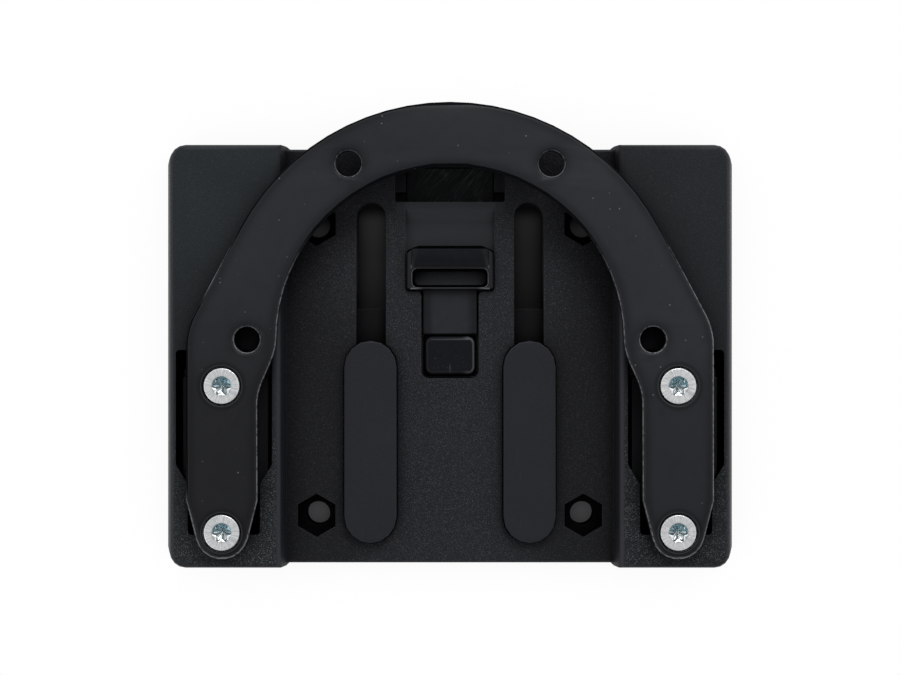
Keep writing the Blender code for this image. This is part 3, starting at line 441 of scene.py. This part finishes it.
def window_floor():
    """Smooth injection-moulded cover, scuffed along the diagonal where the strap's end rubs on it."""
    f = Finish("gloss_black_scuffed")
    bevel = f.rounded(0.25)
    on_floor = f.smooth(f.z, platform_top - 0.5, platform_top - 0.1) * f.up()
    scratches = f.noise(1.0, 3.0, 0.65, f.stretched(0.30, 5.0, 1.0, -1.00))
    threads = f.noise(1.0, 2.0, 0.5, f.stretched(0.16, 8.0, 1.0, -0.86))
    patches = f.smooth(f.noise(0.16), 0.38, 0.62)
    middle = 1 - f.smooth(abs(f.x - 1.0), 3.0, 13.0)
    lines = f.smooth(scratches, 0.50, 0.68) * patches + 0.7 * f.smooth(threads, 0.56, 0.68)
    haze = f.noise(0.35, 3.0, 0.6)
    colour = f.mix(haze, (0.0034, 0.0044, 0.0044), (0.0082, 0.0098, 0.0096))
    colour = f.mix(lines * middle * on_floor * 0.8, colour, (0.075, 0.080, 0.080))
    knock = {0: f.mm, 1: (8.4, 42.2, platform_top)}
    from_knock = f.node("ShaderNodeVectorMath", {"operation": "DISTANCE"}, knock, "Value")
    bruise = f.smooth(from_knock, 0.9, 0.2) * f.smooth(scratches, 0.4, 0.6)
    colour = f.mix(bruise * 0.8, colour, (0.09, 0.092, 0.095))
    # Painted highlight along the rounded edges
    colour = f.mix(f.edge(bevel) * 0.5, colour, (0.020, 0.021, 0.022))
    rough = 0.30 + 0.30 * lines * on_floor + 0.15 * haze
    return f.done(colour, rough, f.bump(lines, -0.02, bevel), specular=0.16)


def powder_coat():
    """Satin powder coat on cut steel: a faint orange peel, rolled rims with painted shade and a painted
    highlight line, a little dust.
    """
    f = Finish("powder_coat_satin")
    bevel = f.rounded(0.8)
    rise = f.lean(f.facing())
    peel = f.noise(1.1)
    cloud = f.noise(0.03)

    # Colour: bluish, with painted light and shade: darker and browner on the left leg, brighter to the right
    right = f.smooth(f.x, -60.0, 60.0)
    left_leg_shade = f.smooth(f.y, 20.0, -20.0) * (1 - right)
    colour = f.mix(cloud, (0.0165, 0.0180, 0.0212), (0.0195, 0.0212, 0.0248))
    colour = f.mix(left_leg_shade, colour, (0.0160, 0.0162, 0.0180))
    # Painted light brighter upwards to the middle and darker towards the top, then painted shade in a band
    # along the rims
    upwards_light = 0.34 * f.smooth(f.y, -30.0, 30.0) - 0.22 * f.smooth(f.y, 40.0, 62.0)
    colour = f.shaded(0.60 + upwards_light + 0.16 * right, colour)
    colour = f.shaded(0.78 + 0.44 * f.noise(0.35, 3.0), colour)
    colour = f.shaded(1 - 0.42 * f.smooth(f.inland(3.8), 0.96, 0.72), colour)

    # The screws' seats: painted shade for a soft dip, a painted pale highlight on the rim and a painted black
    # shadow in the gap beside the head
    out = f.aside - pocket_x
    to_screw = [(out ** 2.0 + (f.y - row) ** 2.0) ** 0.5 for row in screw_rows]
    seat = f.node("ShaderNodeMath", {"operation": "MINIMUM"}, dict(enumerate(to_screw)))
    beyond_seat = f.smooth(seat, seat_edge - 0.25, seat_edge)
    colour = f.shaded(1 - 0.4 * f.within(seat, seat_edge + 0.3, seat_edge + 1.1, 0.4), colour)
    seat_highlight = f.within(seat, seat_edge + 0.02, seat_edge + 0.22, 0.1)
    colour = f.mix(seat_highlight * 0.5, colour, (0.045, 0.046, 0.050))
    colour = f.shaded(beyond_seat, colour)

    # The rims: a broken painted highlight line on the legs and round the four holes, painted shade on the
    # walls and elsewhere on the rims
    line = f.within(rise, 0.25, 0.60, 0.08)
    inner = f.smooth(f.y, 34.0, 14.0) * (1 - f.smooth(f.x, -62.0, -66.0))
    from_centre = (f.x ** 2.0 + (f.y - ring_centre_y) ** 2.0) ** 0.5
    hole_rim = f.within(from_centre, *hole_band, 0.3) * f.smooth(f.y, -4.0, 0.0)
    bright = f.most(inner, f.smooth(f.y, -34.0, -42.0), 0.55 * hole_rim)
    broken = f.smooth(f.noise(0.9), 0.35, 0.55)
    rim_shade = f.within(rise, 0.25, 0.90, 0.05) * (1 - bright)
    wall = 1 - f.smooth(rise, 0.05, 0.2)
    colour = f.shaded(1 - 0.75 * wall, colour)
    colour = f.shaded(1 - 0.55 * rim_shade, colour)
    colour = f.mix(line * bright * (0.30 + 0.70 * broken), colour, (0.145, 0.146, 0.155))

    dots, chance = f.spots(0.45, 0.05, 0.05)
    dust = dots * f.smooth(chance, 0.62, 0.95)
    colour = f.mix(dust * 0.8, colour, (0.16, 0.16, 0.165))
    rough = 0.40 + 0.06 * peel + 0.06 * cloud
    dull = f.most(rim_shade, 1 - beyond_seat)
    return f.done(colour, rough, f.bump(peel, 0.012, bevel), specular=0.18, dull=dull)


def rail_black():
    """Slippery moulded rail, polished in streaks along its travel."""
    f = Finish("rail_black_worn")
    bevel = f.rounded(0.3)
    streaks = f.noise(1.0, 3.0, 0.55, f.stretched(3.0, 0.12, 3.0))
    colour = f.mix(streaks, (0.0062, 0.0070, 0.0078), (0.0125, 0.0136, 0.0150))
    # Painted highlight along the rounded edges, then painted shade in the corners
    colour = f.mix(f.edge(bevel) * 0.4, colour, (0.020, 0.021, 0.023))
    colour = f.shaded(f.open(5.0, 0.8), colour)
    rough = 0.34 + 0.16 * streaks
    return f.done(colour, rough, f.bump(streaks, 0.01, bevel), specular=0.18)


def latch_black(name, base, shine):
    """Smooth black moulding of the latch, with a few fine handling marks, painted highlights on its rolled
    rims and painted shade in its hollow and gaps.
    """
    f = Finish(name)
    bevel = f.rounded(0.35)
    rise = f.lean(bevel)

    # Places: the hollow above the strap's slot, the slot's rim, the stem and the button with its gate mark
    hollow = f.within(f.y, eye_y + 2.6, eye_y + 7.9, 0.4) * (1 - f.smooth(f.aside + 0.3 * f.y, 16.6, 18.0))
    by_slot = (1 - f.smooth(f.aside, 10.5, 10.8)) * f.within(f.y, eye_y - 3.25, eye_y + 3.45, 0.12)
    inner = f.smooth(f.z, eye_rim_floor, eye_rim_floor - 0.14) * by_slot
    stem = f.within(f.y, 5.0, 18.4, 0.2)
    button = 1 - f.smooth(f.y, 5.4, 5.8)
    low_middle = f.smooth(f.y, 3.5, -1.0) * (1 - f.smooth(f.aside, 3.0, 6.0))
    gate = (1 - f.smooth(f.aside, 0.06, 0.26)) * f.within(f.y, button_foot_y + 0.5, button_foot_y + 2.6, 0.5)

    # Colour: haze, the gate mark, dust on the button, lighter low in its middle, and streaks along the stem
    haze = f.noise(0.5)
    colour = f.mix(haze, base, tuple(1.35 * part for part in base))
    colour = f.mix(gate * 0.5, colour, (0.05, 0.051, 0.054))
    spot, chance = f.spots(1.6, 0.08, 0.22)
    specks = spot * f.smooth(chance, 0.45, 0.95) * (0.15 + 1.0 * button * low_middle)
    colour = f.mix(specks * 0.6, colour, (0.060, 0.063, 0.068))
    colour = f.shaded(1 + 0.35 * button * low_middle, colour)
    streak = f.noise(1.0, 2.0, 0.5, f.stretched(1.2, 0.06, 1.0)) - 0.5
    # Painted light down the middle of the stem and painted shade at its sides
    colour = f.shaded(1 + stem * (0.55 - 1.15 * f.smooth(f.aside, 1.0, 7.4) + 0.5 * streak), colour)

    # The rims: painted highlights, bright at the slot's ends and on the button's right, faint along the slot
    ends = f.smooth(f.aside, 7.0, 9.8) * by_slot
    right_side = button * (0.10 + 0.60 * f.smooth(f.x, 3.0, 6.2))
    rim_highlight = f.within(rise, 0.35, 0.93, 0.05) * (1 - hollow) * (1 - inner)
    rim_highlight = rim_highlight * (0.10 * by_slot + 0.90 * ends + 0.5 * right_side)
    # The head darker over its upper part
    colour = f.shaded(1 - 0.34 * f.within(f.y, 18.2, 31.0, 0.6), colour)
    colour = f.mix(rim_highlight * 0.9, colour, (0.20, 0.203, 0.21))

    # Shade: the hollow, the slot's walls, the head's far edge, the outer flanks and the corners
    deep = 0.12 + 0.34 * f.smooth(f.y, 28.6, 24.6)
    colour = f.shaded((1 - deep * hollow) * (1 - 0.93 * inner), colour)
    head_edge = f.smooth(f.y + 1.2 * f.smooth(f.aside, 9.6, 11.9), 28.75, 29.05)
    colour = f.shaded(1 - 0.92 * head_edge, colour)
    outer = f.within(rise, -0.1, 0.88, 0.06) * (1 - by_slot)
    outer = outer * (1 - 0.9 * button * f.smooth(f.x, 2.0, 6.0))
    marks = f.smooth(f.noise(1.0, 2.0, 0.5, f.stretched(0.4, 7.0, 1.0, 0.8)), 0.66, 0.78)
    colour = f.mix(marks * 0.18, colour, (0.05, 0.052, 0.056))
    colour = f.shaded(f.open(4.0, 0.8), colour)
    rough = shine + 0.10 * haze + 0.12 * marks
    dull = f.most(head_edge, inner, outer, hollow * (0.55 + deep * 0.6))
    return f.done(colour, rough, f.bump(haze, 0.01, bevel), specular=0.16, dull=dull)


def pad_rubber():
    """Matt rubber pad with a fine even tooth, a few scrapes along it, and a painted highlight on its rims."""
    f = Finish("pad_rubber_matt")
    bevel = f.rounded(0.3)
    rise = f.lean(bevel)
    tooth = f.noise(3.0, 2.0, 0.6)
    colour = f.mix(f.noise(0.08), (0.0122, 0.0136, 0.0166), (0.0156, 0.0170, 0.0204))
    colour = f.mix(f.smooth(tooth, 0.52, 0.75) * 0.5, colour, (0.032, 0.034, 0.040))
    scrapes = f.smooth(f.noise(1.0, 2.0, 0.5, f.stretched(4.5, 0.15, 1.0, 0.12)), 0.64, 0.76)
    colour = f.mix(scrapes * 0.22, colour, (0.050, 0.053, 0.060))
    # Painted highlight on the rims, then painted shade in the corners
    colour = f.mix(f.within(rise, 0.35, 0.92, 0.06) * 0.5, colour, (0.034, 0.036, 0.042))
    colour = f.shaded(f.open(4.0, 0.5), colour)
    rough = 0.70 + 0.12 * tooth
    return f.done(colour, rough, f.bump(tooth, 0.03, bevel), specular=0.14)


def turned_metal(name, pale, dark, shine, marks, plate=0.0):
    """Turned metal whose fine marks run out from the middle.

    A screw has a share of pale plating as well, and a painted teal reflection on the upper walls of its
    recess."""
    f = Finish(name)
    share = f.node("ShaderNodeUVMap", {"uv_map": "round"})
    where = f.node("ShaderNodeVectorMath", {"operation": "MULTIPLY"}, {0: share, 1: (marks, 6.0, 1.0)})
    rays = f.noise(1.0, 2.0, 0.6, where)
    bloom = f.noise(1.2, 3.0, 0.6)
    colour = f.mix(f.smooth(rays, 0.35, 0.65), dark, pale)
    colour = f.mix(f.smooth(bloom, 0.55, 0.75) * 0.4, colour, dark)
    cloudy = 0.18 * f.smooth(bloom, 0.4, 0.7)
    metallic = 1.0
    if plate:
        recess = 1 - f.smooth(f.part_of(share, "Y"), 0.100, 0.112)
        teal = tuple(part * kept for part, kept in zip(dark, (0.26, 0.42, 0.47)))
        # Painted teal reflection on the recess's upper walls
        colour = f.mix(recess * f.smooth(f.part_of(f.facing(), "Y"), 0.02, -0.16), colour, teal)
        cloudy = cloudy * (1 - recess)
        metallic = 1 - plate * (1 - recess)
    return f.done(colour, shine + cloudy, f.bump(rays, 0.02), metallic=metallic, specular=0.5)


moulded = moulded_black()
scuffed = window_floor()
coated = powder_coat()
runner = rail_black()
eye_black = latch_black("latch_black_eye", (0.0150, 0.0158, 0.0186), 0.38)
button_black = latch_black("latch_black_button", (0.0040, 0.0044, 0.0058), 0.30)
rubber = pad_rubber()
zinc = turned_metal("zinc_plated", (0.97, 0.955, 0.94), (0.66, 0.67, 0.68), 0.28, 130.0, 0.40)
brass = turned_metal("insert_brass_turned", (0.72, 0.52, 0.22), (0.50, 0.34, 0.12), 0.34, 40.0)
spring_wire = turned_metal("spring_steel_drawn", (0.62, 0.62, 0.62), (0.40, 0.40, 0.41), 0.28, 6.0)


# Solids whose shape stays, welded and shaded so that their chamfers read as rolled edges

def shading_tree(limit):
    """Geometry nodes that weld loose triangles and part their shading at edges sharper than limit."""
    tree = bpy.data.node_groups.new(f"weld_and_shade_{limit}", "GeometryNodeTree")
    for way in ("INPUT", "OUTPUT"):
        tree.interface.new_socket("Geometry", in_out=way, socket_type="NodeSocketGeometry")
    g = Nodes(tree)
    loose = g.node("NodeGroupInput")
    weld = g.node("GeometryNodeMergeByDistance", {}, {"Geometry": loose, "Distance": 0.002 * MM})
    faces = g.node("GeometryNodeSetShadeSmooth", {}, {"Geometry": weld})
    angle = g.node("GeometryNodeInputMeshEdgeAngle", output="Unsigned Angle")
    below = g.node("FunctionNodeCompare", {"data_type": "FLOAT", "operation": "LESS_THAN"},
                   {"A": angle, "B": np.radians(limit)})
    edges = g.node("GeometryNodeSetShadeSmooth", {"domain": "EDGE"},
                   {"Geometry": faces, "Shade Smooth": below})
    g.node("NodeGroupOutput", {}, {0: edges})
    return tree


def dress(node, finish, tree):
    """Give a solid its finish and its shading."""
    solid = nodes[node]
    solid.data.materials.clear()
    solid.data.materials.append(finish)
    shade = solid.modifiers.new("weld_and_shade", "NODES")
    shade.node_group = tree
    weigh = solid.modifiers.new("face_weights", "WEIGHTED_NORMAL")
    weigh.keep_sharp = True


rolled = shading_tree(52.0)
crisp = shading_tree(38.0)
dress("base_shell", moulded, crisp)
dress("back_cover", scuffed, crisp)
dress("mounting_ring", coated, rolled)
for side in ("left", "right"):
    dress(f"{side}_rail", runner, rolled)
    dress(f"{side}_pad", rubber, rolled)
dress("strap_slider", eye_black, rolled)
dress("lock_bar", button_black, rolled)


# Fasteners, inserts and springs

def lobed_screw(name, x, y):
    """A countersunk screw as rings over the turn, in which t is the angle.

    The recess wall stands at 2.02 + 0.36 cos 6t, over a floor with a cone, under a chamfered mouth.
    The thread is 2.5 less 0.3 times a triangle wave of t and the depth, one wave in 0.8 mm."""
    columns, pitch = 96, 0.8
    turn = turn_of(columns)[None, :]
    lobe = 2.02 + 0.36 * np.cos(6 * turn)
    mouth = column_of(0.0, 0.25, 0.5, 0.75, 1.0)
    depth = np.linspace(-3.3, -15.2, 100)[:, None]
    thread = 2.5 - 0.3 * zigzag(depth / pitch + turn / (2 * np.pi))
    bands = [
        (lobe * column_of(0.04, 0.3, 0.6, 0.9), column_of(-2.9, -2.5, -2.05, -1.6)),
        (lobe * column_of(0.95, 0.98), column_of(-1.5, -1.35)),
        (lobe * column_of(1.0, 1.0, 1.0), column_of(-1.2, -0.8, -0.4)),
        (lobe + (2.52 - lobe) * mouth, -0.34 + 0.34 * mouth ** 0.7),
        (column_of(2.62, 3.1, 3.8, 4.3, 4.45), column_of(0.0, 0.0, 0.0, 0.0, 0.0)),
        (column_of(4.55, 4.63, 4.68, 4.7, 4.7), column_of(-0.02, -0.07, -0.14, -0.22, -0.55)),
        (column_of(4.6, 3.6, 2.6, 2.5), column_of(-0.66, -1.65, -2.65, -2.9)),
        (thread, depth),
        (column_of(2.2, 1.7, 0.3), column_of(-15.4, -16.0, -16.0)),
    ]
    return closed_surface(name, spun(bands, x, y, ring_top - screw_sunk, columns))


def cover_screw(name, x, y):
    """A small countersunk screw, head down, as rings over the turn.

    Its hexagon wall stands at 1.21 over the cosine of the angle from the middle of the nearest flat.
    The thread is 1.3 less 0.18 times a triangle wave of the angle and the height, one wave in 0.6 mm."""
    columns, pitch = 72, 0.6
    turn = turn_of(columns)[None, :]
    from_flat = (turn + np.pi / 6) % (np.pi / 3) - np.pi / 6
    hexagon = 1.21 / np.cos(from_flat)
    height = np.linspace(2.0, 6.5, 40)[:, None]
    thread = 1.3 - 0.18 * zigzag(height / pitch + turn / (2 * np.pi))
    bands = [
        (column_of(0.1, 0.6, 1.05), column_of(1.35, 1.2, 1.1)),
        (hexagon * column_of(0.98, 1.0, 1.0, 1.06), column_of(1.1, 1.0, 0.1, 0.0)),
        (column_of(1.6, 2.2, 2.65), column_of(0.0, 0.0, 0.0)),
        (column_of(2.75, 2.8, 2.8), column_of(0.03, 0.1, 0.3)),
        (column_of(2.7, 1.9, 1.3), column_of(0.42, 1.2, 1.8)),
        (thread, height),
        (column_of(1.15, 0.2), column_of(6.6, 7.2)),
    ]
    return closed_surface(name, spun(bands, x, y, screw_sunk, columns))


def knurled_insert(name, x, y):
    """A brass sleeve. Its two outer bands stand at 3.48 less 0.25 times a triangle wave of 30 teeth."""
    columns, teeth = 240, 30
    turn = turn_of(columns)[None, :]
    knurl = 3.48 - 0.25 * zigzag(teeth * turn / (2 * np.pi))
    bands = [
        (column_of(2.8, 2.8, 2.8), column_of(9.4, 5.0, 0.2)),
        (column_of(2.95, 3.1), column_of(0.0, 0.0)),
        (knurl * column_of(0.95, 1.0, 1.0, 0.96), column_of(0.05, 0.25, 3.0, 3.2)),
        (column_of(3.1, 3.1), column_of(3.3, 6.3)),
        (knurl * column_of(0.96, 1.0, 1.0, 0.95), column_of(6.4, 6.6, 9.35, 9.55)),
        (column_of(3.1, 2.95), column_of(9.6, 9.6)),
    ]
    return closed_surface(name, spun(bands, x, y, insert_foot, columns), sleeve=True)


def coil_spring(name, x):
    """A round wire of 0.25 carried along a helix of 1.65 round a level line at x and a height of 4.275.

    The rise is slow over the first and last turn and even over the five between them."""
    foot_y, level = 1.95, 4.275
    length, end_rise = 15.3, 0.6
    wire, coil = 0.25, 1.65
    turns = np.linspace(0.0, 7.0, 7 * 36 + 1)
    even = np.clip(turns - 1.0, 0.0, 5.0) / 5.0
    rise = end_rise * np.clip(turns, 0.0, 1.0) + end_rise * np.clip(turns - 6.0, 0.0, 1.0)
    rise = rise + (length - 2 * end_rise) * even
    angle = 2 * np.pi * turns
    out = np.stack([np.cos(angle), np.zeros_like(angle), np.sin(angle)], -1)
    line = np.array([x, foot_y, level]) + coil * out + np.stack([0 * rise, rise, 0 * rise], -1)
    ahead = np.gradient(line, axis=0)
    ahead /= np.linalg.norm(ahead, axis=1)[:, None]
    side = np.cross(ahead, out)
    section = turn_of(10)[:, None]
    ring = out[:, None] * np.cos(section) + side[:, None] * np.sin(section)
    return closed_surface(name, line[:, None] + wire * ring)


def middle(node):
    """The middle of a solid's box, across and along, in millimetres."""
    low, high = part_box(node)
    return (low.x + high.x) / 2 / MM, (low.y + high.y) / 2 / MM


for side in ("left", "right"):
    for row in ("upper", "lower"):
        name = f"{side}_{row}"
        x, y = middle(f"{name}_screw")
        screw = stands_for(lobed_screw(f"{name}_lobed_screw", x, y), f"{name}_screw", zinc)
        sleeve = stands_for(knurled_insert(f"{name}_knurled_insert", x, y), f"{name}_insert", brass)
for number in range(1, 9):
    x, y = middle(f"cover_screw_{number}")
    screw = stands_for(cover_screw(f"cover_hex_screw_{number}", x, y), f"cover_screw_{number}", zinc)
for side, x in (("left", -12.5), ("right", 12.5)):
    spring = stands_for(coil_spring(f"{side}_coil_spring", x), f"{side}_spring", spring_wire)
    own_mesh(spring)


# Floor, lights and camera

def paper_floor():
    """White paper with a painted shadow of the object, seen as lit from behind, straight or in a reflection.

    Under the plate it carries painted shade, the grey that shows through the long slots and the nut holes."""
    f = Finish("paper_floor")
    near = f.node("ShaderNodeAmbientOcclusion", {"samples": 12}, {"Distance": 0.03}, "AO")
    lit = 1 - 0.22 * (1 - near) ** 2.0

    # Painted light and shade seen through the slots: lightest in the middle of each, fading towards both
    # ends, darker on the right
    across = (f.aside - slot_x) / 4.2
    slots = (0.0140 - 0.0028 * f.smooth(f.x, -10.0, 10.0)) * (1 - 0.75 * across * across)
    slots = slots * (0.35 + 0.65 * f.smooth(f.y, 6.0, 27.0)) * (1 + 0.22 * f.smooth(f.y, 27.0, 36.0))
    slots = slots * (0.15 + 0.85 * f.smooth(f.y, 41.0, 36.6))

    # Painted light and shade seen through the nut holes: round and pale, with a painted shadow below the
    # ring's arc
    beside = (f.aside - nut_x - 0.5) / 3.2
    above = (abs(f.y + 3.7) - nut_y) / 3.2
    arc_shadow = f.smooth(f.y, 20.0, 32.0) * (0.68 + 0.24 * f.smooth(f.y, 33.5, 38.0))
    holes = (0.042 - 0.012 * (beside * beside + above * above)) * (1 - arc_shadow)

    under = (1 - f.smooth(f.aside, 74.5, 77.5)) * (1 - f.smooth(abs(f.y), 54.5, 56.5))
    by_nuts = f.within(f.aside, 31.0, 41.0, 0.5)
    strength = lit * (1 - under) + (slots * (1 - by_nuts) + holes * by_nuts) * under
    tint = f.mix(under, (1.0, 1.0, 1.0), (1.0, 0.97, 1.02))
    light = f.node("ShaderNodeEmission", {}, {"Color": tint, "Strength": strength})
    paper = f.node("ShaderNodeBsdfDiffuse", {}, {"Color": (0.75, 0.75, 0.75, 1.0)})
    rays = [f.node("ShaderNodeLightPath", {}, {}, kind)
            for kind in ("Is Camera Ray", "Is Glossy Ray", "Is Transmission Ray")]
    return f.closed(f.node("ShaderNodeMixShader", {}, {0: f.most(*rays), 1: paper, 2: light}))


bpy.ops.mesh.primitive_plane_add(size=4.0, location=(0.0, 0.0, -0.0003))
floor = bpy.context.object
floor.name = "paper_floor"
floor.data.materials.append(paper_floor())

# A studio dome: bright low down and towards the far side, plain white where the camera looks at it
world = bpy.data.worlds.new("studio")
bpy.context.scene.world = world
world.use_nodes = True
sky = Nodes(world.node_tree)
towards = sky.node("ShaderNodeTexCoord", output="Generated")
high, far = (sky.node("ShaderNodeSeparateXYZ", {}, {0: towards}, axis) for axis in "ZY")
level = sky.node("ShaderNodeMapRange", {}, {0: high, 1: 0.55, 2: 0.97, 3: 1.10, 4: 0.26})
tilt = sky.node("ShaderNodeMapRange", {}, {0: far, 1: -1.0, 2: 1.0, 3: 0.55, 4: 1.45})
dome = sky.node("ShaderNodeBackground", {}, {0: (0.95, 0.98, 1.0, 1.0), 1: level * tilt})
white = sky.node("ShaderNodeBackground", {}, {0: (1.0, 1.0, 1.0, 1.0), 1: 1.0})
seen = sky.node("ShaderNodeLightPath", output="Is Camera Ray")
sky.node("ShaderNodeOutputWorld", {}, {0: sky.node("ShaderNodeMixShader", {}, {0: seen, 1: dome, 2: white})})


def soft_light(name, place, aim, size, watts):
    """A round lamp that looks at a point."""
    lamp = bpy.data.lights.new(name, "AREA")
    lamp.shape = "DISK"
    lamp.size = size
    lamp.energy = watts
    holder = bpy.data.objects.new(name, lamp)
    bpy.context.scene.collection.objects.link(holder)
    holder.location = place
    holder.rotation_euler = (Vector(aim) - Vector(place)).to_track_quat("-Z", "Y").to_euler()


plate_middle = (0.0, 0.0, 0.01)
soft_light("light_upper", (0.15, 0.55, 0.50), plate_middle, 0.40, 2.4)
soft_light("light_lower_left", (-0.55, -0.35, 0.50), plate_middle, 0.35, 0.6)

# The camera looks straight down on the plate
camera = bpy.data.cameras.new("camera")
camera.sensor_width = 36.0
camera.lens = 66.7
eye = bpy.data.objects.new("camera", camera)
bpy.context.scene.collection.objects.link(eye)
eye.location = (0.0, 0.005, 0.4615)
bpy.context.scene.camera = eye
bpy.context.scene.view_settings.view_transform = "Standard"
